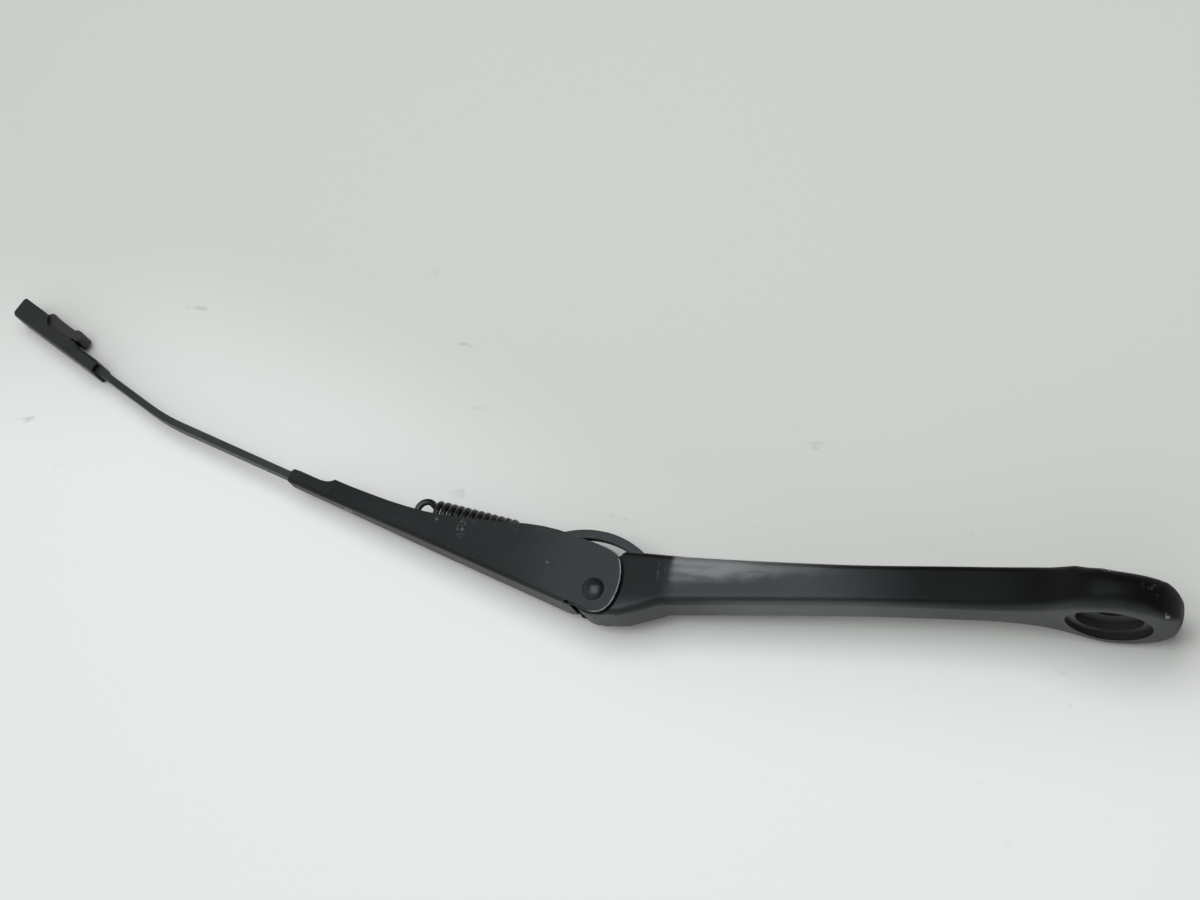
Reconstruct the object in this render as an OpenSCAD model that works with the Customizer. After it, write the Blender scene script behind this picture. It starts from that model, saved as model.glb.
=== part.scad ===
// Windscreen wiper arm, lying on its side as it rests off the car.
// The spindle bore is at the origin and runs along Y. +Y is the side that faces the glass, -Y the
// outer side, and the fold hinge runs along Z. The blade end points to -X.

/* [Layout] */
// Distance from the spindle to the fold hinge, along X
hinge_reach = 220.5; // [212:0.5:230]
// How far the fold hinge lies on the outer side of the spindle's mouth
hinge_drop = 13; // [12.5:0.1:13.5]
// Angle at which the channel leaves the head at rest, towards the glass
arm_bend = 20.6; // [19:0.1:22]
// Largest angle that the arm lifts from rest
lift_max = 60; // [50:1:60]

/* [Head] */
// Radius of the round boss at the spindle
boss_r = 28; // [27:0.1:29]
// Thickness of the boss along the spindle
boss_h = 16.3; // [15:0.1:18]
// Radius of the boss's rounded edges
boss_edge = 6.8; // [5:0.1:7.5]
// Distance of the boss's middle beyond the spindle
boss_offset = 1.8; // [0:0.1:2]
// Radius of the recess for the nut cap
cap_r = 18.2; // [17:0.1:19]
// Depth of the recess for the nut cap
cap_h = 3; // [2:0.1:4]
// Radius of the deeper recess for the nut
nut_r = 14.2; // [12:0.1:15]
// Depth of the nut recess below the cap recess
nut_h = 3.5; // [2:0.1:5]
// Radius of the spindle bore
bore_r = 6; // [5:0.05:7]
// Half width of the arm part of the head
head_hw = 10.2; // [9.5:0.1:11]
// Wall left round the hollow on the glass side of the head
head_wall = 3.2; // [2.5:0.1:4]
// Radius of the knuckle round the hinge
knuckle_r = 10.7; // [10:0.1:10.9]
// Gap between the end of the channel and the shoulder of the head
shoulder_gap = 1.8; // [1.4:0.1:2]

/* [Hinge] */
// Radius of the hinge rivet's shank
rivet_r = 3; // [2.5:0.05:3.2]
// Radius of the hinge rivet's head
rivet_head_r = 4.9; // [4.5:0.1:5.5]
// Height of the domed rivet head
rivet_head_h = 2.3; // [1.8:0.1:3]
// Wall of the plastic bushes
bush_wall = 1.2; // [1:0.1:1.4]
// Thickness of the flange of a bush
bush_flange_h = 1; // [0.8:0.1:1.2]
// Radius of the flange of a bush
bush_flange_r = 7.5; // [6.5:0.1:8.5]
// Running gap of a shaft in its bore, on the radius
run_gap = 0.05; // [0.02:0.01:0.08]
// Gap between a bush flange and the flank beside it
flank_gap = 0.3; // [0.2:0.05:0.4]

/* [Spring and link] */
// Spring wire diameter
wire_d = 3; // [2.6:0.1:3.2]
// Outer diameter of the spring's coil
coil_d = 14.2; // [13:0.1:14.4]
// Distance from one turn to the next
coil_pitch = 3.3; // [3.25:0.05:3.5]
// Place of the anchor pin from the hinge, along X
anchor_x = 22; // [21.5:0.1:22.5]
// Place of the anchor pin from the hinge, along Y
anchor_y = 12.4; // [12:0.1:12.8]
// Radius of the anchor pin
anchor_r = 2.5; // [2.2:0.05:2.8]
// Middle radius of the curved spring link
link_r = 40; // [39:0.1:42]
// Width of the link in its own plane
link_w = 4; // [3.5:0.1:4.2]
// Thickness of the link's plate
link_t = 4; // [3.5:0.1:4.4]
// Straight distance between the link's two eyes
link_chord = 51.2; // [50:0.1:52]
// Radius of the link's eyes
eye_r = 5; // [4.6:0.1:5.2]
// Side gap between the link and its slot
slot_gap = 0.5; // [0.4:0.05:0.8]

/* [Channel] */
// Sheet thickness of the channel
sheet_t = 1.5; // [1.3:0.1:1.6]
// Half width of the channel's tip
tip_hw = 5.7; // [5.6:0.05:6]
// Distance from the hinge to the channel's tip
channel_len = 159.8; // [158:0.1:161]
// Distance from the hinge to the channel's outer face
spine_drop = 10.8; // [10:0.1:11]
// Outer radius of the folds along the spine
fold_r = 2.4; // [2:0.1:2.8]

/* [Bar] */
// Width of the flat bar
bar_w = 8; // [7.4:0.1:8.2]
// Thickness of the flat bar
bar_t = 3.2; // [3:0.1:3.3]
// Distance from the hinge to the bend of the bar
bar_bend_at = 232.8; // [225:1:240]
// Angle of the bend in the bar
bar_bend = 10.5; // [8:0.1:12]
// Radius of the bend in the bar
bar_bend_r = 110; // [90:5:130]

/* [Blade end] */
// Distance from the bend of the bar to the mouth of the sleeve
sleeve_at = 45; // [44:0.5:48]
// Length of the sleeve
sleeve_len = 53.7; // [50:0.1:55]
// Half width of the sleeve
sleeve_hw = 8; // [7.8:0.1:8.4]
// Sheet thickness of the sleeve
sleeve_t = 1.3; // [1.1:0.05:1.4]
// Height of the sleeve's side walls at its outer end
sleeve_h = 9.7; // [9:0.1:10]
// Gap round the plastic adapter in the sleeve
adapter_gap = 0.15; // [0.1:0.05:0.2]

/* [Hidden] */
$fn = 48;

// Sizes worked out from the driving dimensions
channel_hw = head_hw;
flank_in = channel_hw - sheet_t;
cheek_hw = flank_in - flank_gap - bush_flange_h;
slot_hw = link_t / 2 + slot_gap;
bush_r = rivet_r + run_gap + bush_wall;
spine_in = spine_drop - sheet_t;
bar_seat_gap = 0.1;
bar_mid = -(spine_in - bar_seat_gap - bar_t / 2);
wire_r = wire_d / 2;
coil_r = coil_d / 2 - wire_r;
anchor = [anchor_x, anchor_y];

// The channel's outlines are drawn for this length, and stretch with the channel's own past the hinge end
drawn_len = 159.8;
drawn_from = 20;
function stretched(u) =
    u < drawn_from ? u : drawn_from + (u - drawn_from) * (channel_len - drawn_from) / (drawn_len - drawn_from);

// Places on the channel, as distances from the hinge along it
spine_end = 8;
notch_r = 1.9;
crimp_start = channel_len - 15.3;
crimp_lug = 12;
waist = [[-20, channel_hw + 0.2], [stretched(90), 8.9], [stretched(138), tip_hw], [channel_len + 10, tip_hw]];
tail_end = 92.5;
tail_flat = 103;
tail_low = 113;
tail_v = -1.8;
bar_rivet_at = channel_len - 31.8;

// The hook at the bar turns round this centre, seen from the hinge
hook_u = 93.4;
hook_v = 2.2;
hook_r = 4.3;
hook_leg = 5.2;
hook_hole_at = hook_u + 0.87 * hook_r;
hook_hole_r = wire_r + 0.8;
hook_centre = rot2([-hook_u, hook_v], -arm_bend);
pull_dir = unit2(anchor - hook_centre);
pull_angle = atan2(pull_dir[1], pull_dir[0]);
link_eye = anchor - link_chord * pull_dir;
span = norm(link_eye - hook_centre);
lift_ratio = 0.81;

function rot2(p, a) = [p[0] * cos(a) - p[1] * sin(a), p[0] * sin(a) + p[1] * cos(a)];
function unit2(p) = p / norm(p);
function unit3(p) = p / norm(p);
function mix(a, b, t) = a + (b - a) * t;

// Value between hand-set stations, by a curve that passes smoothly through each of them
function at_station(table, x, col) =
    let (
        last = len(table) - 1,
        found = [for (i = [0:last - 1]) if (x >= table[i][0]) i],
        i = len(found) == 0 ? 0 : min(last - 1, found[len(found) - 1]),
        a = table[max(0, i - 1)],
        b = table[i],
        c = table[i + 1],
        d = table[min(last, i + 2)],
        w = c[0] - b[0],
        t = (x - b[0]) / w,
        mb = i == 0 ? (c[col] - b[col]) : (c[col] - a[col]) / (c[0] - a[0]) * w,
        mc = i + 2 > last ? (c[col] - b[col]) : (d[col] - b[col]) / (d[0] - b[0]) * w
    )
    (2 * pow(t, 3) - 3 * pow(t, 2) + 1) * b[col] + (pow(t, 3) - 2 * pow(t, 2) + t) * mb
    + (-2 * pow(t, 3) + 3 * pow(t, 2)) * c[col] + (pow(t, 3) - pow(t, 2)) * mc;

// Closed ring of points in the YZ plane: a rectangle from y0 to y1, hw to each side, with round corners
function ring(x, y0, y1, hw, r_low, r_high, steps) =
    let (
        corners = [
            [y1 - r_high, hw - r_high, r_high, 0],
            [y0 + r_low, hw - r_low, r_low, 90],
            [y0 + r_low, -hw + r_low, r_low, 180],
            [y1 - r_high, -hw + r_high, r_high, 270]
        ]
    )
    [for (c = corners) for (k = [0:steps])
        let (a = c[3] + 90 * k / steps)
        [x, c[0] + c[2] * cos(a), c[1] + c[2] * sin(a)]];

// Solid skin over rings that have as many points each, in order along X
module loft(rings) {
    n = len(rings[0]);
    m = len(rings);
    points = [for (r = rings) for (p = r) p];
    sides = [for (i = [0:m - 2]) for (j = [0:n - 1])
        let (k = (j + 1) % n)
        [i * n + j, i * n + k, (i + 1) * n + k, (i + 1) * n + j]];
    triangles = [for (s = sides) for (t = [[s[0], s[1], s[2]], [s[0], s[2], s[3]]]) t];
    start = [for (j = [n - 1:-1:0]) j];
    finish = [for (j = [0:n - 1]) (m - 1) * n + j];
    polyhedron(points, concat(triangles, [start], [finish]), convexity = 6);
}

// Outline of a strip of even thickness along a path of points in a plane
function strip(path, t) =
    let (
        n = len(path),
        normals = [for (i = [0:n - 1])
            let (d = unit2(path[min(n - 1, i + 1)] - path[max(0, i - 1)]))
            [-d[1], d[0]]]
    )
    concat(
        [for (i = [0:n - 1]) path[i] + normals[i] * t / 2],
        [for (i = [n - 1:-1:0]) path[i] - normals[i] * t / 2]
    );

// Points of the round bend that replaces a corner at p between a and b
function round_bend(a, p, b, r, steps) =
    let (
        da = unit2(a - p),
        db = unit2(b - p),
        half = acos(da * db) / 2,
        back = r / tan(half),
        from = p + da * back,
        to = p + db * back,
        centre = p + unit2(da + db) * r / sin(half),
        a0 = atan2(from[1] - centre[1], from[0] - centre[0]),
        turn = atan2(to[1] - centre[1], to[0] - centre[0]) - a0,
        sweep = turn > 180 ? turn - 360 : (turn < -180 ? turn + 360 : turn)
    )
    [for (k = [0:steps]) centre + r * [cos(a0 + sweep * k / steps), sin(a0 + sweep * k / steps)]];

// Round wire of radius r along a path of points in space
module wire(path, r, sides) {
    n = len(path);
    tangents = [for (i = [0:n - 1]) unit3(path[min(n - 1, i + 1)] - path[max(0, i - 1)])];
    first = unit3(cross(tangents[0], [0.3, 0.5, 0.8]));
    frames = [for (i = 0, f = first; i < n;
        i = i + 1, f = i < n ? unit3(f - tangents[i] * (f * tangents[i])) : f) f];
    rings = [for (i = [0:n - 1])
        let (side = frames[i], other = cross(tangents[i], frames[i]))
        [for (k = [0:sides - 1])
            path[i] + r * (side * cos(360 * k / sides) + other * sin(360 * k / sides))]];
    loft(rings);
}

module at_hinge() {
    translate([-hinge_reach, -hinge_drop, 0]) children();
}

// The channel runs along -X of this frame, with the glass side at +Y
module in_channel() {
    at_hinge() rotate([0, 0, -arm_bend]) children();
}

// The blade end runs along -X of this frame, which starts at the bend, on the bar's middle line
module at_blade_end() {
    in_channel() translate([-bar_bend_at, bar_mid, 0]) rotate([0, 0, -bar_bend]) children();
}

// Stations along the head: distance from the hinge, glass side, outer side, half width and edge radius
head_stretch = hinge_reach / 220.5;
head_stations = [for (s = [
    [12, 17.8, -10.5, 0, 3.2],
    [17, 17.7, -9.7, 0, 3.4],
    [20.5, 17.6, -8.2, 0, 3.6],
    [23.5, 17.5, -6.4, 0, 3.8],
    [28, 17.3, -5.2, 0, 4],
    [36, 16.9, -4.7, 0, 4.2],
    [50, 16.5, -4.1, 0, 4.2],
    [75, 16.1, -3.0, 0, 4],
    [115, 16.1, -1.6, 0, 4],
    [155, 17.2, -1.1, 0.1, 4.2],
    [175, 17.6, -1.1, 0.7, 4.6],
    [190, 17.3, -1.5, 3.4, 5]
]) [s[0] * head_stretch, s[1], s[2], s[3], s[4]]];

// Rings between the head and its boss: distance, glass side, outer side, half width and both edge radii
neck_rings = [
    [hinge_reach - 23.5, 16.6, -1.9, 16.6, 5.4, 4],
    [hinge_reach - 17.5, 15.9, -2.3, 20.4, 5.8, 4.6],
    [hinge_reach - 12, 15, -2.8, 24, 6.3, 5.6]
];

// Ring of the round boss at an angle round the spindle, 0 at its widest and 90 at its end
function boss_ring(a) =
    let (
        x = boss_r * sin(a),
        past = max(0, (x - boss_r + boss_edge) / boss_edge),
        shrink = boss_edge * (1 - sqrt(max(0, 1 - pow(past, 2))))
    )
    ring(hinge_reach + boss_offset + x, -boss_h + hinge_drop + shrink, hinge_drop - shrink,
        max(boss_edge + 0.2, boss_r * cos(a)), boss_edge, boss_edge, 4);

// Ring of the knuckle, which is round about the hinge and runs up and down into the head
function knuckle_ring(x) =
    let (
        round_to = -0.39 * knuckle_r,
        arc = sqrt(pow(knuckle_r, 2) - pow(x, 2)),
        rise = (x - round_to) / (head_stations[0][0] - round_to),
        top = x < round_to ? arc : mix(0.92 * knuckle_r, head_stations[0][1] - 0.2, rise),
        low = x < 0.2 * knuckle_r ? -arc : mix(-0.99 * knuckle_r, head_stations[0][2], pow(rise, 4)),
        edge = min(head_hw - cheek_hw - 0.1, (top - low) / 2 - 0.3)
    )
    ring(x, low, top, head_hw, edge, edge, 4);

module head_body() {
    first = head_stations[0][0];
    last = head_stations[len(head_stations) - 1][0];
    steps = 20;
    loft(concat(
        [for (a = [175, 165, 155, 145, 134, 123, 113]) knuckle_ring(knuckle_r * cos(a))],
        [for (x = [-1.5, 1.5, 4.5, 8]) knuckle_ring(x)],
        [for (i = [0:steps])
            let (x = mix(first, last, i / steps))
            ring(x, at_station(head_stations, x, 2), at_station(head_stations, x, 1),
                head_hw + at_station(head_stations, x, 3), at_station(head_stations, x, 4),
                at_station(head_stations, x, 4) * 0.7, 4)],
        [for (n = neck_rings) ring(n[0], n[2], n[1], n[3], n[4], n[5], 4)],
        [for (a = [-16, -4, 9, 22, 34, 45, 54, 62, 69, 75, 80, 84]) boss_ring(a)]
    ));
}

module boss_recess() {
    eps = 1;
    rotate([90, 0, 0]) {
        translate([0, 0, boss_h - cap_h]) cylinder(r = cap_r, h = cap_h + eps, $fn = 96);
        translate([0, 0, boss_h - cap_h - nut_h]) cylinder(r = nut_r, h = nut_h + eps, $fn = 96);
        translate([0, 0, -eps]) cylinder(r = bore_r, h = boss_h + eps, $fn = 96);
    }
}

// Hollow on the glass side of the cast head, seen from the hinge
module head_hollow() {
    from = 44;
    to = hinge_reach - 34.5;
    step = (to - from) / 24;
    floor_points = [for (x = [from:step:to])
        [x, at_station(head_stations, x, 2) + head_wall]];
    hollow_hw = head_hw - head_wall;
    translate([0, 0, -hollow_hw]) linear_extrude(2 * hollow_hw)
        polygon(concat([[from - 4, 30]], [[from - 3, 8]], floor_points, [[to + 7, 8], [to + 8, 30]]));
}

// Room for the link in the middle of the knuckle, from rest to the full lift
module link_slot() {
    lifted = pull_angle + lift_ratio * lift_max;
    reach = 60;
    room = eye_r + 1.2;
    front = room - 0.3;
    below = 1.5;
    translate([0, 0, -slot_hw]) linear_extrude(2 * slot_hw) union() {
        translate(anchor) circle(r = room);
        translate(anchor) rotate(lifted)
            polygon([[front, 0], [0, -below], [-reach, -below], [-reach, reach], [front, reach]]);
    }
}

// Outline that stands a gap outside the flank's round end, in the channel's own frame
module flank_end(gap) {
    end_points = [for (p = flank_points) if (p[0] > -24 && p[1] > -9.5) p];
    n = len(end_points);
    grown = [for (i = [0:n - 1])
        let (d = unit2(end_points[min(n - 1, i + 1)] - end_points[max(0, i - 1)]))
        end_points[i] + gap * [d[1], -d[0]] * -1];
    polygon(concat([[-24, 40]], grown, [[-24, -10 - gap]]));
}

module arm_head() {
    color("#2b2c2d") difference() {
        at_hinge() head_body();
        boss_recess();
        at_hinge() {
            for (side = [0, 1])
                mirror([0, 0, side]) rotate([0, 0, -arm_bend]) translate([0, 0, cheek_hw])
                    linear_extrude(head_hw) flank_end(shoulder_gap);
            head_hollow();
            link_slot();
            translate([0, 0, -20]) cylinder(r = bush_r, h = 40);
            translate([anchor_x, anchor_y, -20]) cylinder(r = anchor_r, h = 20 + cheek_hw + 1.5);
        }
    }
}

// A bush sits in one cheek with its flange on the outside; side is 1 for the near one and -1 for the far
module hinge_bush(side) {
    length = cheek_hw - slot_hw;
    color("#d8d4c8") at_hinge() mirror([0, 0, side > 0 ? 0 : 1]) difference() {
        union() {
            translate([0, 0, slot_hw]) cylinder(r = bush_r, h = length);
            translate([0, 0, cheek_hw]) cylinder(r = bush_flange_r, h = bush_flange_h);
        }
        translate([0, 0, slot_hw - 1]) cylinder(r = rivet_r + run_gap, h = length + 4);
    }
}

module hinge_bush_near() {
    hinge_bush(1);
}

module hinge_bush_far() {
    hinge_bush(-1);
}

// Dome of radius r and height h that stands on the XY plane
module dome(r, h) {
    ball = (r * r + h * h) / (2 * h);
    rim = 0.5;
    rotate_extrude() polygon(concat(
        [[0, 0], [r, 0]],
        [for (k = [0:8]) let (a = mix(asin(r / ball), 0, k / 8))
            [ball * sin(a), rim + (ball * cos(a) - (ball - h)) * (h - rim) / h]]
    ));
}

module hinge_rivet() {
    color("#242526") at_hinge() {
        translate([0, 0, -channel_hw]) cylinder(r = rivet_r, h = 2 * channel_hw);
        translate([0, 0, channel_hw]) dome(rivet_head_r, rivet_head_h);
        mirror([0, 0, 1]) translate([0, 0, channel_hw]) dome(rivet_head_r, rivet_head_h * 0.8);
    }
}

module anchor_pin() {
    flush = 0.3;
    color("#6d6e70") at_hinge() translate([anchor_x, anchor_y, flush - head_hw])
        cylinder(r = anchor_r, h = head_hw + cheek_hw + 1.5 - flush - 0.2);
}

module spring_link() {
    mid = (anchor + link_eye) / 2;
    rise = sqrt(pow(link_r, 2) - pow(link_chord / 2, 2));
    centre = mid + rise * [pull_dir[1], -pull_dir[0]];
    half = asin(link_chord / 2 / link_r);
    reach = 2 * link_r;
    color("#1f2022") at_hinge() translate([0, 0, -link_t / 2]) linear_extrude(link_t) difference() {
        union() {
            intersection() {
                translate(centre) difference() {
                    circle(r = link_r + link_w / 2, $fn = 180);
                    circle(r = link_r - link_w / 2, $fn = 180);
                }
                translate(centre) rotate(pull_angle + 90) polygon([[0, 0],
                    reach * [cos(half), sin(half)], [reach, 0], reach * [cos(half), -sin(half)]]);
            }
            translate(anchor) circle(r = eye_r);
            translate(link_eye) circle(r = eye_r * 0.9);
        }
        translate(anchor) circle(r = anchor_r + run_gap);
        translate(link_eye) circle(r = wire_r + 0.6);
    }
}

// Point of the spring at a place along its axis, across it in the arm's plane, and across it along Z
function spring_point(along, across, z) =
    let (p = hook_centre + along * pull_dir + across * [-pull_dir[1], pull_dir[0]])
    [p[0], p[1], z];

// The spring: a round hook in the arm's plane, the coil, then a hook across that plane in the link's eye
module tension_spring() {
    steps = 16;
    turns = 11.75;
    coil_len = turns * coil_pitch;
    curl_r = 2.6;
    coil_from = hook_r + 2.2;
    curl = [for (a = [300:-20:200])
        spring_point(curl_r - hook_r + curl_r * cos(a), curl_r * sin(a) - hook_leg, 0)];
    leg = [for (k = [0:3]) spring_point(-hook_r, mix(-hook_leg, 0.4, k / 3), 0)];
    near_hook = [for (a = [165:-15:45]) spring_point(hook_r * cos(a), 0.6 + (hook_r + 0.4) * sin(a), 0)];
    to_coil = [spring_point(coil_from * 0.75, coil_r * 0.84, -0.6), spring_point(coil_from, coil_r * 0.96, -0.9)];
    coil = [for (k = [1:turns * steps])
        let (a = 360 * k / steps)
        spring_point(coil_from + coil_pitch * k / steps, coil_r * cos(a), coil_r * sin(a))];
    far_from = coil_from + coil_len;
    far_r = coil_r;
    far_centre = span - far_r;
    far_hook = [for (a = [75:-15:-130]) spring_point(far_centre + far_r * cos(a), 0, -far_r * sin(a))];
    to_hook = [spring_point(far_from + 1.0, -coil_r * 0.42, -coil_r * 0.93),
        spring_point(mix(far_from, far_centre, 0.75), -coil_r * 0.15, -coil_r * 1.0)];
    color("#1b1c1d") at_hinge() wire(concat(curl, leg, near_hook, to_coil, coil, to_hook, far_hook), wire_r, 8);
}

// Outline of the channel's flank: distance from the hinge, turned to -X, and height
flank_points = [for (p = [
    [160.8, -7.2], [158.8, -4.6], [144.5, -4.4], [141.7, -3.9], [139.6, -2.9], [138.3, -1.6],
    [130, -1.6], [118, -1.2], [108, -0.7], [99, 0.1], [90, 1.2], [83, 2.5], [76, 4.4], [68, 6.6],
    [59.5, 9.2], [50.5, 12.2], [43, 14.5], [35.5, 16.4], [28, 17.6], [20, 18.2], [11, 18.7],
    [5, 18.9], [1, 18.8], [-1.5, 18.3], [-3.6, 17.2], [-5.6, 15.2], [-7.6, 12], [-9.2, 8.2],
    [-10.2, 4], [-10.5, 0], [-10.2, -3.2], [-9, -6], [-7, -8.1], [-4.6, -9.2], [-2, -9.6],
    [4, -9.7], [16, -11], [19, -30], [160.8, -30]
]) [-stretched(p[0]), p[1]]];

// Half width of the channel at a distance from the hinge: an even taper along the spring, then a waist down to the width of the bar
function width_at(u) = lookup(u, waist);

// Rounds the fold along one straight stretch of the channel's flank, the one that starts at this waist point
module fold_cut(index) {
    from = waist[index][0];
    to = waist[index + 1][0];
    rise = width_at(from) - width_at(to);
    past = 0.12;
    translate([-from, -spine_drop, width_at(from)]) rotate([0, -90 - atan(rise / (to - from)), 0])
        translate([0, 0, -past]) linear_extrude(norm([to - from, rise]) + 2 * past)
            polygon(concat(
                [[fold_r, fold_r], [fold_r, -fold_r], [-fold_r, -fold_r]],
                [for (a = [-90:15:0]) [-fold_r, fold_r] + fold_r * [cos(a), sin(a)]]
            ));
}

// Solid between two stations of the channel, inset from its outside
module tapered(u0, u1, low, high, inset) {
    stations = concat([u0], [for (w = waist) if (w[0] > u0 && w[0] < u1) w[0]], [u1]);
    one_side = [for (u = stations) [-u, width_at(u) - inset]];
    n = len(one_side);
    translate([0, high, 0]) rotate([90, 0, 0]) linear_extrude(high - low)
        polygon(concat(one_side, [for (i = [n - 1:-1:0]) [one_side[i][0], -one_side[i][1]]]));
}

// The folds on both sides of one stretch
module fold_cuts(index) {
    for (side = [0, 1])
        mirror([0, 0, side]) fold_cut(index);
}

// The folded sheet: tapered and open on the glass side, its flanks shaped to an outline
module folded_sheet() {
    back = -12;
    top = 30;
    difference() {
        difference() {
            difference() {
                difference() {
                    intersection() {
                        tapered(back, channel_len, -spine_drop, top, 0);
                        translate([0, 0, -20]) linear_extrude(40) polygon(flank_points);
                    }
                    fold_cuts(0);
                }
                fold_cuts(1);
            }
            fold_cuts(2);
        }
        tapered(back - 1, channel_len + 1, -spine_in, top + 1, sheet_t);
        tapered(back - 1, spine_end, -20, -6, sheet_t + 0.05);
        for (side = [-1, 1])
            translate([-spine_end - notch_r / 2, -spine_drop, side * (flank_in + sheet_t / 2)])
                cylinder(r = notch_r, h = 3 * sheet_t, center = true);
    }
}

module arm_channel() {
    lug_low = bar_mid + bar_t / 2 + bar_seat_gap;
    color("#27282a") in_channel() difference() {
        union() {
            folded_sheet();
            tapered(crimp_start, crimp_start + crimp_lug, lug_low, lug_low + sheet_t, 0.3);
        }
        translate([0, 0, -20]) cylinder(r = rivet_r, h = 40);
        translate([-bar_rivet_at, bar_mid, 0]) rotate([90, 0, 0]) cylinder(r = 2.2, h = 10);
    }
}

// Middle line of the flat bar, in the channel's frame
bar_start = [-tail_end, tail_v];
bar_corner = [-bar_bend_at, bar_mid];
bar_stop = bar_corner + rot2([-(sleeve_at + 34), 0], -bar_bend);
bar_path = concat(
    [bar_start],
    round_bend(bar_start, [-tail_flat, tail_v], [-tail_low, bar_mid], 5, 4),
    round_bend([-tail_flat, tail_v], [-tail_low, bar_mid], bar_corner, 5, 4),
    round_bend([-tail_low, bar_mid], bar_corner, bar_stop, bar_bend_r, 16),
    [bar_stop]
);

module flat_bar() {
    color("#303133") in_channel() difference() {
        translate([0, 0, -bar_w / 2]) linear_extrude(bar_w) polygon(strip(bar_path, bar_t));
        translate([-hook_hole_at, tail_v + bar_t, 0]) rotate([90, 0, 0])
            cylinder(r = hook_hole_r, h = 2 * bar_t);
        translate([-bar_rivet_at, bar_mid + bar_t, 0]) rotate([90, 0, 0])
            cylinder(r = 2.2, h = 2 * bar_t);
        translate([-bar_bend_at, bar_mid, 0]) rotate([0, 0, -bar_bend])
            translate([-sleeve_rivet_at, bar_t, 0]) rotate([90, 0, 0]) cylinder(r = 2, h = 2 * bar_t);
    }
}

// Flush rivet through the spine and the bar
module bar_rivet() {
    color("#232425") in_channel() translate([-bar_rivet_at, -spine_drop, 0]) rotate([-90, 0, 0]) {
        cylinder(r = 2.2, h = spine_drop + bar_mid + bar_t / 2);
        translate([0, 0, spine_drop + bar_mid + bar_t / 2]) dome(3.4, 1.2);
    }
}

sleeve_low = -(bar_t / 2 + 0.2 + sleeve_t);
sleeve_lid = bar_t / 2 + 0.1;
sleeve_rivet_at = sleeve_at + 8;

// Side wall of the sleeve: low round the bar at its mouth, high at its outer end
module sleeve_side() {
    end = sleeve_at + sleeve_len;
    high = sleeve_low + sleeve_h;
    polygon([for (p = [[sleeve_at, sleeve_low], [sleeve_at, 2], [sleeve_at + 1, 2.9],
        [sleeve_at + 15, 2.9], [sleeve_at + 17, 3.5], [sleeve_at + 32, 2], [sleeve_at + 34.5, 2.4],
        [sleeve_at + 36.5, 4.4], [sleeve_at + 38, high - 0.3], [sleeve_at + 39.5, high],
        [end - 1.2, high], [end - 0.3, high - 0.4], [end, high - 1.4], [end, sleeve_low + 1],
        [end - 0.6, sleeve_low]]) [-p[0], p[1]]]);
}

module blade_sleeve() {
    end = sleeve_at + sleeve_len;
    lid = 14;
    color("#2a2b2c") at_blade_end() difference() {
        intersection() {
            loft([for (x = [-end - 1, -sleeve_at + 1])
                ring(x, sleeve_low, sleeve_low + 14, sleeve_hw, 2.2, 1, 5)]);
            translate([0, 0, -20]) linear_extrude(40) sleeve_side();
            loft([for (p = [[end + 1, 9], [sleeve_at + 18, 9], [sleeve_at + lid, sleeve_lid + sleeve_t],
                [sleeve_at - 1, sleeve_lid + sleeve_t]])
                ring(-p[0], sleeve_low, p[1], sleeve_hw, 2.2, 1.8, 5)]);
        }
        translate([-sleeve_at - lid, sleeve_low + sleeve_t, sleeve_t - sleeve_hw])
            cube([lid + 1, sleeve_lid - sleeve_low - sleeve_t, 2 * (sleeve_hw - sleeve_t)]);
        translate([-end - 1, sleeve_low + sleeve_t, sleeve_t - sleeve_hw])
            cube([sleeve_len - lid + 1, 20, 2 * (sleeve_hw - sleeve_t)]);
        translate([-sleeve_rivet_at, 0, 0]) rotate([90, 0, 0]) cylinder(r = 2, h = 20);
    }
}

// Flush rivet through the sleeve's outer wall and the bar
module sleeve_rivet() {
    color("#232425") at_blade_end() translate([-sleeve_rivet_at, sleeve_low, 0])
        rotate([-90, 0, 0]) cylinder(r = 2, h = bar_t / 2 - sleeve_low);
}

// Moulded adapter in the sleeve, with the latch tongue on the glass side and the blade's pocket
module blade_adapter() {
    from = sleeve_at + 16;
    to = sleeve_at + sleeve_len - 1.5;
    over_bar = bar_t / 2 + adapter_gap;
    top = sleeve_low + sleeve_h - 0.6;
    body_hw = sleeve_hw - sleeve_t - adapter_gap;
    tongue_hw = 5;
    pocket_hw = 4.4;
    low = sleeve_low + sleeve_t + adapter_gap;
    past_bar = sleeve_at + 34 + 0.3;
    color("#222322") at_blade_end() {
        difference() {
            union() {
                translate([0, 0, -body_hw]) linear_extrude(2 * body_hw)
                    polygon([for (p = [[from, over_bar], [past_bar, over_bar], [past_bar, low],
                        [to, low], [to, top - 1], [to - 1, top], [sleeve_at + 39, top],
                        [sleeve_at + 36, 3.2], [from, 3.2]]) [-p[0], p[1]]]);
                translate([0, 0, -tongue_hw]) linear_extrude(2 * tongue_hw)
                    polygon([for (p = [[from + 6, 3], [from + 4.8, 4.2], [from + 2.4, 4.1], [from + 1.7, 5.2],
                        [from + 1.6, 8.6], [from + 2.4, 9.3], [from + 5, 9.2], [from + 6.6, 8.1],
                        [from + 19, 8.1], [from + 20.4, 8.7], [from + 22, 8.4], [from + 24, 6.4],
                        [from + 26, 5], [from + 26, 3]]) [-p[0], p[1]]]);
            }
            translate([-to + 2.2, low + 1.6, -pocket_hw]) cube([9.4, 20, 2 * pocket_hw]);
        }
    }
}

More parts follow.
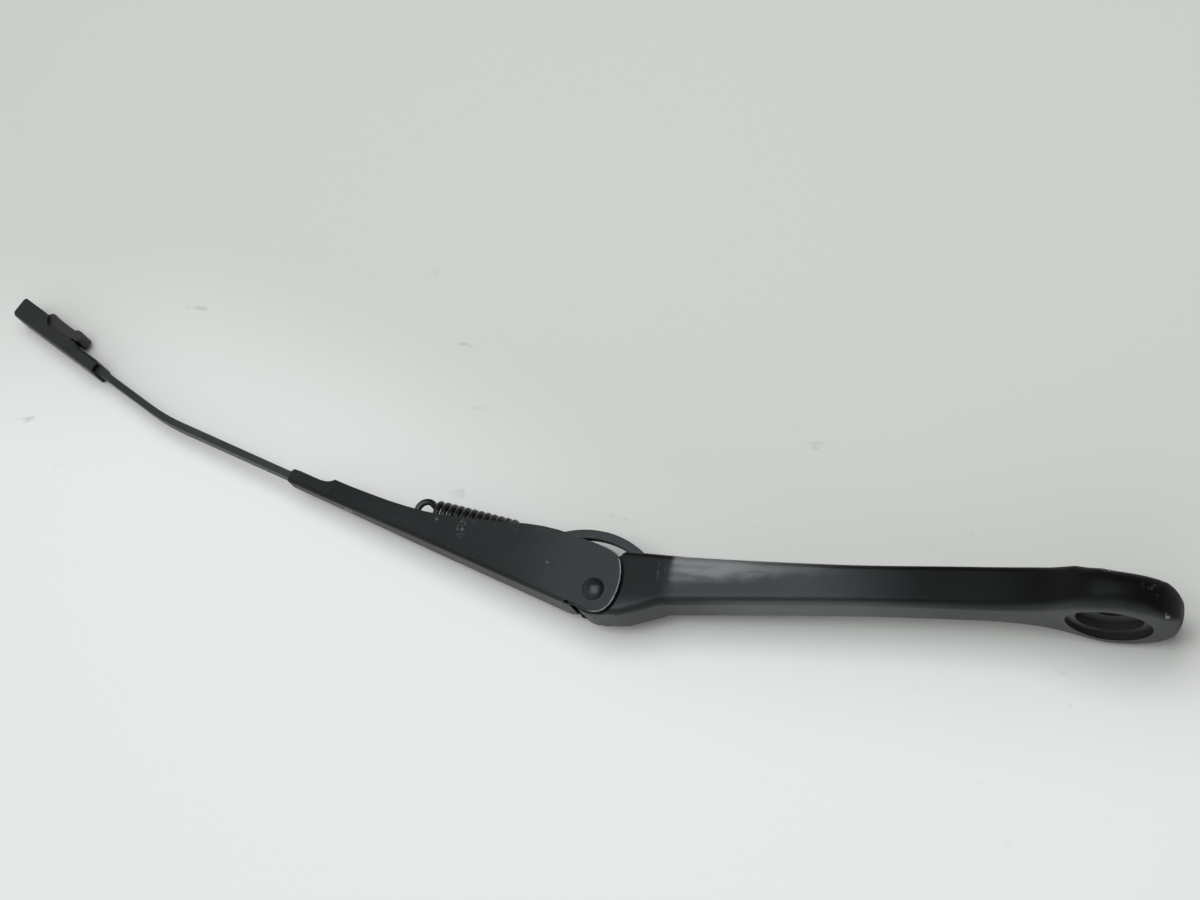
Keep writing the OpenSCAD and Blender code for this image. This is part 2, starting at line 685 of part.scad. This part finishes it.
arm_head();
hinge_bush_near();
hinge_bush_far();
hinge_rivet();
anchor_pin();
spring_link();
tension_spring();
arm_channel();
flat_bar();
bar_rivet();
blade_sleeve();
sleeve_rivet();
blade_adapter();
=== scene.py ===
"""Look of the wiper arm: worn black paint, softened edges, a pale floor and soft light."""
import math

import bmesh
import bpy
from mathutils import Matrix, Vector


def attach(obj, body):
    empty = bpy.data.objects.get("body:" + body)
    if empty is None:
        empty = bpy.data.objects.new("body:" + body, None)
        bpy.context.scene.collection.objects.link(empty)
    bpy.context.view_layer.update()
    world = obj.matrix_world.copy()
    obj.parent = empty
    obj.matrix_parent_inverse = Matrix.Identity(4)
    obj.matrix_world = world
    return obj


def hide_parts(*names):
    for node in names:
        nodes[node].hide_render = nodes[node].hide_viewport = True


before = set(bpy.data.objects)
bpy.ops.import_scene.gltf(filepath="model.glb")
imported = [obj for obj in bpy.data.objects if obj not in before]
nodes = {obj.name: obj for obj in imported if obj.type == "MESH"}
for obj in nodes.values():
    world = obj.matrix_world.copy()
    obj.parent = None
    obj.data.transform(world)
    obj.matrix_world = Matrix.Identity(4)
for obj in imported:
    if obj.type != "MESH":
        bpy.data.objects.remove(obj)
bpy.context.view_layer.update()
MM = 0.001

# The part's own sizes, in millimetres: the hinge's place from the spindle, and the boss
HINGE = (-220.5, -13.0)
BOSS_R = 28.0
BOSS_H = 16.3
BOSS_EDGE = 6.8
BOSS_MIDDLE = 1.8

# Camera at the photograph's viewing angle, from a fit of the arm's joints in the picture
CAMERA_PLACE = (0.2895, -0.465, 1.385)
CAMERA_RIGHT = (0.943, 0.144, -0.300)
CAMERA_UP = (-0.028, 0.933, 0.360)
CAMERA_BACK = (0.332, -0.331, 0.883)
CAMERA_LENS = 108


def set_camera():
    camera = bpy.data.objects.new("camera", bpy.data.cameras.new("camera"))
    bpy.context.scene.collection.objects.link(camera)
    turn = Matrix((CAMERA_RIGHT, CAMERA_UP, CAMERA_BACK)).transposed()
    camera.matrix_world = Matrix.Translation(CAMERA_PLACE) @ turn.to_4x4()
    camera.data.sensor_width = 36
    camera.data.lens = CAMERA_LENS
    camera.data.clip_end = 20
    bpy.context.scene.camera = camera


class Graph:
    """A material's nodes, with short calls for those used here."""

    def __init__(self, name):
        self.material = bpy.data.materials.new(name)
        self.material.use_nodes = True
        self.tree = self.material.node_tree
        self.shader = self.tree.nodes["Principled BSDF"]
        self.coordinates = self.tree.nodes.new("ShaderNodeTexCoord")
        self.place = self.coordinates.outputs["Object"]

    def node(self, kind, inputs=(), **settings):
        made = self.tree.nodes.new("ShaderNode" + kind)
        for key, value in settings.items():
            setattr(made, key, value)
        for key, value in dict(inputs).items():
            self.put(made.inputs[key], value)
        return made

    def put(self, socket, value):
        if isinstance(value, bpy.types.NodeSocket):
            self.tree.links.new(value, socket)
        else:
            socket.default_value = value

    def finish(self, **inputs):
        """Set the shader's inputs, named with low lines for spaces, and give the material."""
        for key, value in inputs.items():
            self.put(self.shader.inputs[key.replace("_", " ")], value)
        return self.material

    def noise(self, scale, detail=3.0, stretch=(1, 1, 1), seed=0.0):
        where = self.place
        if stretch != (1, 1, 1) or seed:
            shift = (seed, seed * 0.37, -seed)
            where = self.node("Mapping", {"Vector": where, "Scale": stretch, "Location": shift}).outputs[0]
        inputs = {"Vector": where, "Scale": scale, "Detail": detail, "Roughness": 0.55}
        return self.node("TexNoise", inputs).outputs["Fac"]

    def math(self, operation, a, b=0.0, clamp=False):
        return self.node("Math", {0: a, 1: b}, operation=operation, use_clamp=clamp).outputs[0]

    def times(self, first, *others):
        for other in others:
            first = self.math("MULTIPLY", first, other)
        return first

    def step(self, value, low, high):
        """Smooth step from 0 at low to 1 at high, which may lie on either side of low."""
        inputs = {"Value": value, "From Min": low, "From Max": high}
        return self.node("MapRange", inputs, interpolation_type="SMOOTHSTEP").outputs[0]

    def window(self, value, start, full, fade, end):
        """1 between full and fade, with a smooth step down to 0 at start and at end."""
        return self.times(self.step(value, start, full), self.step(value, end, fade))

    def mix(self, factor, a, b):
        made = self.node("Mix", data_type="RGBA")
        self.put(made.inputs[0], factor)
        self.put(made.inputs[6], a)
        self.put(made.inputs[7], b)
        return made.outputs[2]

    def axis(self, index):
        return self.node("SeparateXYZ", {0: self.place}).outputs[index]

    def from_hinge(self, index):
        """How far a point lies from the hinge along X or Y, in millimetres."""
        return self.math("DIVIDE", self.math("SUBTRACT", self.axis(index), HINGE[index] * MM), MM)

    def upward(self):
        """Y of the normal, which is -1 on the sides that face down in the picture."""
        return self.node("SeparateXYZ", {0: self.coordinates.outputs["Normal"]}).outputs[1]

    def spot(self, centre, radii, turn=0.0, soft=0.3):
        """1 inside an ellipsoid at a place in millimetres, falling softly to 0 at its rim."""
        shift = [-c * MM for c in centre]
        scale = [1 / (r * MM) for r in radii]
        rotation = (0, 0, math.radians(turn))
        moved = self.node("Mapping", {"Vector": self.place, "Location": shift}).outputs[0]
        turned = self.node("Mapping", {"Vector": moved, "Rotation": rotation, "Scale": scale}).outputs[0]
        away = self.node("VectorMath", {0: turned}, operation="LENGTH").outputs["Value"]
        return self.step(away, 1.0 + soft, 1.0 - soft)

    def bump(self, height, strength, distance):
        return self.node("Bump", {"Height": height, "Strength": strength, "Distance": distance}).outputs[0]


def grey(value, warm=-0.025):
    return (value * (1 + warm), value, value * (1 - warm), 1)


# The paint's shine, the share of it taken away where shade is painted, and its cool tint
SHEEN = 0.32
SHADE_SHARE = 0.82
TINT = (0.90, 1.0, 1.06, 1)


def hairlines(g):
    """Mask of fine scratches."""
    where = g.node("Mapping", {"Vector": g.place, "Rotation": (0.2, 0.1, 0.4)}).outputs[0]
    inputs = {"Vector": where, "Scale": 60, "Distortion": 14, "Detail": 3, "Detail Scale": 2.4}
    lines = g.step(g.node("TexWave", inputs).outputs["Fac"], 0.965, 0.995)
    return g.times(lines, g.step(g.noise(160, 3, stretch=(0.12, 1, 1), seed=5.2), 0.52, 0.66))


def worn_paint(name, base, rough, dust=0.35, marks=(), sheen_shade=None):
    """Satin black paint with faint dust, scratches and grain.

    Each mark is a mask, the grey shown there and its strength; the shade mask is painted shade, where the
    shine is cut back.
    """
    g = Graph(name)
    cloud = g.noise(45, 4, seed=3.1)
    speck = g.times(g.step(g.noise(900, 2, seed=1.7), 0.66, 0.80), g.step(cloud, 0.40, 0.62))
    colour = g.mix(g.step(cloud, 0.35, 0.75), grey(base * 0.85), grey(base * 1.35))
    colour = g.mix(g.times(speck, dust), colour, grey(0.09, 0.03))
    colour = g.mix(g.times(hairlines(g), 0.22), colour, grey(0.07))
    for mask, value, strength in marks:
        colour = g.mix(g.times(mask(g), strength), colour, grey(value))
    gloss = g.math("ADD", g.times(cloud, 0.16), rough - 0.08)
    gloss = g.math("ADD", gloss, g.times(speck, 0.2), clamp=True)
    sheen = SHEEN
    # Painted shade: the shine is cut back where the shade mask is set
    if sheen_shade:
        sheen = g.math("SUBTRACT", SHEEN, g.times(sheen_shade(g), SHEEN * SHADE_SHARE))
    grain = g.math("ADD", g.noise(1500, 2), g.times(g.noise(300, 3), 1.2))
    return g.finish(Base_Color=colour, Roughness=gloss, Specular_IOR_Level=sheen, Specular_Tint=TINT,
                    Normal=g.bump(grain, 0.10, 0.0006))


def plain(name, colour, rough, metallic=0.0):
    """Unpainted plastic or metal with a slightly uneven tone."""
    g = Graph(name)
    dark = tuple(c * 0.75 for c in colour) + (1,)
    light = tuple(min(1, c * 1.25) for c in colour) + (1,)
    tone = g.mix(g.step(g.noise(70, 4, seed=2.2), 0.3, 0.75), dark, light)
    gloss = g.math("ADD", g.times(g.noise(200, 3), 0.14), rough - 0.07)
    return g.finish(Base_Color=tone, Roughness=gloss, Metallic=metallic,
                    Normal=g.bump(g.noise(1400, 2), 0.06, 0.0004))


def scuff_and_reflection(g):
    """Rubbed patch on the head's near flank, part wear and part painted reflection, sharp at the hinge end
    and fading towards the boss.
    """
    x = g.from_hinge(0)
    y = g.from_hinge(1)
    wander = g.times(g.math("SUBTRACT", g.noise(130, 3, seed=2.9), 0.5), 6.0)
    start = g.step(g.math("ADD", x, wander), 32, 35)
    fade = g.step(x, 118, 48)
    low = g.math("ADD", g.times(x, 0.10), -0.5)
    height = g.math("SUBTRACT", g.math("ADD", y, wander), low)
    near_side = g.step(g.axis(2), 2 * MM, 6 * MM)
    rub = g.step(g.noise(210, 4, stretch=(0.16, 1, 1), seed=8.3), 0.22, 0.66)
    patchy = g.math("ADD", g.times(rub, 0.72), 0.28)
    return g.times(start, fade, g.step(height, -1.5, 5.5), near_side, patchy)


def head_shade(g):
    """Mask of painted shade at the hinge and towards the boss, where the paint is darker and less shiny, but
    not on the side of the head that faces down.
    """
    along = g.step(g.from_hinge(0), 85, 150)
    hinge_end = g.times(g.step(g.from_hinge(0), 38, 28), g.step(g.from_hinge(1), -9, -1), 0.75)
    return g.times(g.math("MAXIMUM", along, hinge_end), g.step(g.upward(), -0.85, -0.35))


def lit_underside(g):
    """Painted light on the side of the head that faces down, between the hinge and the head's middle."""
    return g.times(g.window(g.from_hinge(0), 30, 70, 95, 165), g.step(g.upward(), -0.5, -0.9))


def recess_grey(g):
    """Lighter grey in the recess of the boss."""
    return g.spot((0, -13, 0), (19, 9, 19), soft=0.15)


def channel_shade(g):
    """Painted shade on the channel away from its hinge, as less shine."""
    return g.times(g.step(g.from_hinge(0), -10, -45), 0.55)


def chips(place, radii, turn=0.0, scale=520, low=0.52, high=0.60, seed=0.0):
    """Broken chips of paint inside a spot, whose place is given from the hinge."""
    centre = (place[0] + HINGE[0], place[1] + HINGE[1], place[2])

    def mask(g):
        broken = g.step(g.noise(scale, 3, seed=seed + 0.3), low, high)
        return g.times(g.spot(centre, radii, turn, 0.45), broken)
    return mask


def edge_highlight(g):
    """Broken bright line along the head's top edge, a painted highlight."""
    along = g.window(g.from_hinge(0), 36, 39, 70, 76)
    across = g.window(g.from_hinge(1), 15.6, 16.4, 17.6, 18)
    return g.times(along, across, g.step(g.noise(700, 3, seed=4.4), 0.42, 0.52))


def rim_highlight(g):
    """Painted highlight on the rim of the channel's flank round its hinge end, and fainter here and there
    elsewhere.
    """
    x = g.from_hinge(0)
    below = g.math("SUBTRACT", g.from_hinge(1), g.times(x, 0.6))
    end = g.times(g.step(x, -3, 4), g.step(below, -16, -9))
    broken = g.step(g.noise(260, 3, seed=3.3), 0.28, 0.62)
    stray = g.step(g.noise(300, 3, seed=7.7), 0.60, 0.72)
    return g.math("ADD", g.times(end, broken), g.times(stray, 0.25), clamp=True)


# The head's paint; its shine is cut back as painted shade where the shade mask is set
head_paint = worn_paint("head_paint", 0.0085, 0.40, sheen_shade=head_shade, marks=[
    # Painted shade: darker paint on the head's upper flanks at the hinge and towards the boss
    (head_shade, 0.004, 0.8),
    # Painted light on the head's side that faces down
    (lit_underside, 0.070, 0.8),
    (recess_grey, 0.045, 0.8),
    # Rubbed patch painted lighter, part wear and part painted reflection
    (scuff_and_reflection, 0.185, 0.9),
    # Painted highlight along the head's top edge
    (edge_highlight, 0.40, 0.8),
    (chips((28, 8.5, 10), (0.5, 5.0, 3), turn=40, low=0.44, high=0.54, seed=1), 0.05, 0.5),
    (chips((31, 7, 10), (0.4, 3.5, 3), turn=-38, low=0.44, high=0.54, seed=4), 0.06, 0.5),
    (chips((225, 12.4, 24), (4.5, 1.0, 5), low=0.52, high=0.60, seed=2), 0.40, 0.8),
    (chips((243, 7, 23), (6, 3, 7), low=0.57, high=0.66, seed=3), 0.07, 0.6),
    (chips((247, -2.0, 14), (1.7, 1.1, 4), low=0.36, high=0.5, seed=6), 0.45, 0.9),
    (chips((226, -9.5, 15), (0.8, 0.8, 4), low=0.30, high=0.4, seed=8), 0.35, 0.8),
])
# The channel's shine is cut back away from its hinge, as painted shade
channel_paint = worn_paint("channel_paint", 0.0085, 0.44, sheen_shade=channel_shade, marks=[
    (chips((-65, 25.6, 10), (2.0, 4.4, 4), turn=-15, scale=760, seed=5), 0.12, 0.6),
    (chips((-77.5, 29.2, 10), (0.9, 0.8, 3), scale=900, low=0.42, high=0.5, seed=7), 0.16, 0.6),
    (chips((-22.6, 11.3, 10), (0.8, 0.6, 3), scale=900, low=0.42, high=0.5, seed=9), 0.10, 0.6),
])
# Paint of the channel's rim bevels, with a painted highlight along the rim
channel_rim = worn_paint("channel_rim", 0.012, 0.38, marks=[(rim_highlight, 0.30, 0.9)])
rivet_paint = worn_paint("rivet_paint", 0.011, 0.27, dust=0.6)
bush_plastic = plain("bush_plastic", (0.45, 0.42, 0.36), 0.5)

FINISH = {
    "arm_head": head_paint,
    "hinge_bush_near": bush_plastic,
    "hinge_bush_far": bush_plastic,
    "hinge_rivet": rivet_paint,
    "anchor_pin": plain("pin_steel", (0.30, 0.29, 0.28), 0.42, metallic=1.0),
    "spring_link": worn_paint("link_paint", 0.007, 0.36),
    "tension_spring": worn_paint("spring_paint", 0.008, 0.34, dust=0.5),
    "arm_channel": channel_paint,
    "flat_bar": worn_paint("bar_paint", 0.015, 0.46),
    "bar_rivet": rivet_paint,
    "blade_sleeve": worn_paint("sleeve_paint", 0.0095, 0.42),
    "sleeve_rivet": rivet_paint,
    "blade_adapter": plain("adapter_plastic", (0.010, 0.010, 0.011), 0.44),
}


def geometry_tree(name):
    """Empty geometry nodes, with the ends where the mesh comes in and goes out."""
    tree = bpy.data.node_groups.new(name, "GeometryNodeTree")
    for way in ("INPUT", "OUTPUT"):
        tree.interface.new_socket("Geometry", in_out=way, socket_type="NodeSocketGeometry")
    return tree, tree.nodes.new("NodeGroupInput"), tree.nodes.new("NodeGroupOutput")


def smoothing(angle):
    """Geometry nodes that shade a mesh smooth but for edges sharper than the angle."""
    tree, start, end = geometry_tree("smooth_%d" % angle)
    faces = tree.nodes.new("GeometryNodeSetShadeSmooth")
    edges = tree.nodes.new("GeometryNodeSetShadeSmooth")
    edges.domain = "EDGE"
    corner = tree.nodes.new("GeometryNodeInputMeshEdgeAngle")
    compare = tree.nodes.new("FunctionNodeCompare")
    compare.operation = "LESS_THAN"
    compare.inputs[1].default_value = math.radians(angle)
    tree.links.new(start.outputs[0], faces.inputs["Geometry"])
    tree.links.new(faces.outputs[0], edges.inputs["Geometry"])
    tree.links.new(corner.outputs["Unsigned Angle"], compare.inputs[0])
    tree.links.new(compare.outputs[0], edges.inputs["Shade Smooth"])
    tree.links.new(edges.outputs[0], end.inputs[0])
    return tree


def rim_edges(angle, from_x):
    """Geometry nodes that mark the sharp edges past a place along X, in millimetres, for the bevel."""
    tree, start, end = geometry_tree("rim_edges")
    store = tree.nodes.new("GeometryNodeStoreNamedAttribute")
    store.data_type = "FLOAT"
    store.domain = "EDGE"
    store.inputs["Name"].default_value = "bevel_weight_edge"
    corner = tree.nodes.new("GeometryNodeInputMeshEdgeAngle")
    place = tree.nodes.new("ShaderNodeSeparateXYZ")
    sharp = tree.nodes.new("ShaderNodeMath")
    beyond = tree.nodes.new("ShaderNodeMath")
    both = tree.nodes.new("ShaderNodeMath")
    sharp.operation = "GREATER_THAN"
    beyond.operation = "GREATER_THAN"
    both.operation = "MULTIPLY"
    sharp.inputs[1].default_value = math.radians(angle)
    beyond.inputs[1].default_value = from_x * MM
    tree.links.new(start.outputs[0], store.inputs["Geometry"])
    tree.links.new(corner.outputs["Unsigned Angle"], sharp.inputs[0])
    tree.links.new(tree.nodes.new("GeometryNodeInputPosition").outputs[0], place.inputs[0])
    tree.links.new(place.outputs["X"], beyond.inputs[0])
    tree.links.new(sharp.outputs[0], both.inputs[0])
    tree.links.new(beyond.outputs[0], both.inputs[1])
    tree.links.new(both.outputs[0], store.inputs["Value"])
    tree.links.new(store.outputs[0], end.inputs[0])
    return tree


# Angles in degrees and lengths in millimetres
SMOOTH_BELOW = 32
SHARP_ABOVE = 35
FLAT_BELOW = 0.5
RIM_REACH = 40
WELD_BELOW = 0.001
BEVEL = {"arm_channel": 0.45, "flat_bar": 0.3, "blade_sleeve": 0.2, "blade_adapter": 0.25, "spring_link": 0.3,
         "hinge_rivet": 0.2, "hinge_bush_near": 0.15, "hinge_bush_far": 0.15}
smooth_tree = smoothing(SMOOTH_BELOW)
rim_tree = rim_edges(SHARP_ABOVE, HINGE[0] - RIM_REACH)


def soften(piece, width=None, rim=None):
    """Welded, bevelled and smoothly shaded skin; the bevels take the rim's paint where one is given."""
    weld = piece.modifiers.new("weld", "WELD")
    weld.merge_threshold = WELD_BELOW * MM
    if width:
        flats = piece.modifiers.new("flats", "DECIMATE")
        flats.decimate_type = "DISSOLVE"
        flats.angle_limit = math.radians(FLAT_BELOW)
        if rim:
            piece.modifiers.new("rim", "NODES").node_group = rim_tree
            piece.data.materials.append(rim)
        bevel = piece.modifiers.new("bevel", "BEVEL")
        bevel.width = width * MM
        bevel.segments = 2
        bevel.limit_method = "WEIGHT" if rim else "ANGLE"
        bevel.angle_limit = math.radians(SHARP_ABOVE)
        bevel.use_clamp_overlap = rim is None
        if rim:
            bevel.material = 1
    piece.modifiers.new("smooth", "NODES").node_group = smooth_tree
    normals = piece.modifiers.new("normals", "WEIGHTED_NORMAL")
    normals.weight = 90
    normals.keep_sharp = True


def ramp(value, low, high):
    share = min(1.0, max(0.0, (value - low) / (high - low)))
    return share * share * (3 - 2 * share)


def rim_rise(x, y, z):
    """How far the boss's rim rises to run on into the neck's top, at a place in millimetres."""
    top, middle, reach = 1.5, -5, 8
    return top * math.exp(-((x - middle) / reach) ** 2) * ramp(y, -9, -2) * ramp(abs(z), 9, 17)


# The solid's mesh is kept up to this X, and rings at these angles round the spindle close it
FACETS_UP_TO = 26.2
JOIN_ANGLE = 52
JOIN_INSET = 0.06
RING_ANGLES = (54, 57, 60, 63, 66, 69, 72, 75, 77.5, 80, 82, 83.5)
END_SHARE = 0.55
CORNER_STEPS = 8


def boss_ring(angle, inset=0.0):
    """Outline of the boss across X at an angle round the spindle, in millimetres."""
    x = BOSS_R * math.sin(math.radians(angle))
    past = max(0.0, (x - BOSS_R + BOSS_EDGE) / BOSS_EDGE)
    shrink = BOSS_EDGE * (1 - math.sqrt(max(0.0, 1 - past * past)))
    half = BOSS_H / 2 - shrink - inset
    corner = min(BOSS_EDGE, half * 0.995)
    wide = max(corner + 0.05, BOSS_R * math.cos(math.radians(angle)) - inset)
    deep = half - corner
    broad = wide - corner
    ring = []
    for quarter, (y, z) in enumerate(((deep, broad), (-deep, broad), (-deep, -broad), (deep, -broad))):
        for k in range(CORNER_STEPS + 1):
            a = math.radians(90 * (quarter + k / CORNER_STEPS))
            ring.append((BOSS_MIDDLE + x, y - BOSS_H / 2 + corner * math.cos(a), z + corner * math.sin(a)))
    return ring


def boss_end(shape):
    """Add the boss's end, drawn rounder than in the solid."""
    rings = [boss_ring(JOIN_ANGLE, JOIN_INSET)] + [boss_ring(angle) for angle in RING_ANGLES]
    middle = -BOSS_H / 2
    rings.append([(x, middle + (y - middle) * END_SHARE, z * END_SHARE) for x, y, z in rings[-1]])
    rows = [[shape.verts.new([c * MM for c in point]) for point in ring] for ring in rings]
    count = len(rows[0])
    for near, far in zip(rows, rows[1:]):
        for k in range(count):
            j = (k + 1) % count
            shape.faces.new((near[k], near[j], far[j], far[k]))
    shape.faces.new(rows[-1])


def cast_head():
    """The head without the solid's last facets, with the end of its boss drawn anew and its rim blended."""
    shape = bmesh.new()
    shape.from_mesh(nodes["arm_head"].data)
    shape.transform(nodes["arm_head"].matrix_world)
    past = [vert for vert in shape.verts if vert.co.x > FACETS_UP_TO * MM]
    bmesh.ops.delete(shape, geom=past, context="VERTS")
    for vert in shape.verts:
        vert.co.y += rim_rise(*(vert.co / MM)) * MM
    boss_end(shape)
    mesh = bpy.data.meshes.new("cast_head")
    shape.to_mesh(mesh)
    shape.free()
    mesh.materials.append(head_paint)
    made = bpy.data.objects.new("cast_head", mesh)
    bpy.context.scene.collection.objects.link(made)
    soften(made)
    return made


# The arm lies on the side of its boss and the side of its blade sleeve: X and Z of both, in millimetres
BOSS_REST = (0.0, -28.0)
SLEEVE_REST = (-500.0, -8.0)
FLOOR_GAP = 0.2
FLOOR_LIGHT = (0.77, 0.79, 0.78, 1)
FLOOR_DARK = (0.59, 0.61, 0.58, 1)
FLOOR_MARK = (0.36, 0.37, 0.35, 1)


def floor_paint():
    """Pale board, darker at the far side, with a few faint marks near the arm; its places are in metres."""
    g = Graph("floor")
    far = g.axis(1)
    side = g.axis(0)
    edge = g.math("SUBTRACT", far, g.times(g.step(side, -0.08, -0.48), 0.12))
    drift = g.times(g.math("SUBTRACT", g.noise(3.5, 2, seed=4), 0.5), 0.05)
    tone = g.step(g.math("ADD", edge, drift), -0.087, 0.043)
    from_arm = g.math("ADD", far, g.times(side, 0.22))
    beside = g.window(from_arm, -0.13, -0.08, 0.05, 0.10)
    flecks = g.step(g.noise(75, 5, stretch=(0.5, 1, 1), seed=6), 0.65, 0.74)
    groups = g.step(g.noise(9, 2, seed=1), 0.47, 0.58)
    marks = g.times(flecks, groups, beside, 0.6)
    colour = g.mix(marks, g.mix(tone, FLOOR_LIGHT, FLOOR_DARK), FLOOR_MARK)
    return g.finish(Base_Color=colour, Roughness=0.85, Specular_IOR_Level=0.2)


def lay_floor():
    bpy.ops.mesh.primitive_plane_add(size=12)
    floor = bpy.context.object
    floor.name = "floor"
    fall = math.atan2(SLEEVE_REST[1] - BOSS_REST[1], BOSS_REST[0] - SLEEVE_REST[0])
    floor.rotation_euler = (0, fall, 0)
    floor.location = (0, 0, (BOSS_REST[1] - FLOOR_GAP) * MM)
    floor.data.materials.append(floor_paint())
    return floor


def key_light(place, target, size, power):
    """Soft square lamp over the arm."""
    lamp = bpy.data.lights.new("key", "AREA")
    lamp.size = size
    lamp.energy = power
    lamp.specular_factor = 0.35
    holder = bpy.data.objects.new("key", lamp)
    bpy.context.scene.collection.objects.link(holder)
    holder.location = place
    holder.rotation_euler = (Vector(target) - Vector(place)).to_track_quat("-Z", "Y").to_euler()


def room_light(brightest, weak, strength):
    """Light from all round, strongest from one direction and weak from the opposite one."""
    world = bpy.data.worlds.new("world")
    bpy.context.scene.world = world
    world.use_nodes = True
    sky = world.node_tree
    direction = sky.nodes.new("ShaderNodeTexCoord").outputs["Generated"]
    toward = sky.nodes.new("ShaderNodeVectorMath")
    toward.operation = "DOT_PRODUCT"
    toward.inputs[1].default_value = Vector(brightest).normalized()
    level = sky.nodes.new("ShaderNodeMapRange")
    level.interpolation_type = "SMOOTHSTEP"
    level.inputs["From Min"].default_value = -0.6
    level.inputs["From Max"].default_value = 1.0
    level.inputs["To Min"].default_value = weak
    level.inputs["To Max"].default_value = 1.0
    sky.links.new(direction, toward.inputs[0])
    sky.links.new(toward.outputs["Value"], level.inputs["Value"])
    sky.links.new(level.outputs[0], sky.nodes["Background"].inputs["Color"])
    sky.nodes["Background"].inputs["Strength"].default_value = strength


set_camera()
for name, finish in FINISH.items():
    piece = nodes[name]
    piece.data.materials.clear()
    piece.data.materials.append(finish)
    soften(piece, BEVEL.get(name), channel_rim if name == "arm_channel" else None)

head = cast_head()
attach(head, "head")
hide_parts("arm_head")

floor = lay_floor()
key_light((-0.20, 0.10, 1.7), (-0.2, 0.0, 0.0), 1.5, 24)
room_light((-0.66, -0.68, 0.32), 0.10, 0.70)
bpy.context.scene.view_settings.view_transform = "Standard"
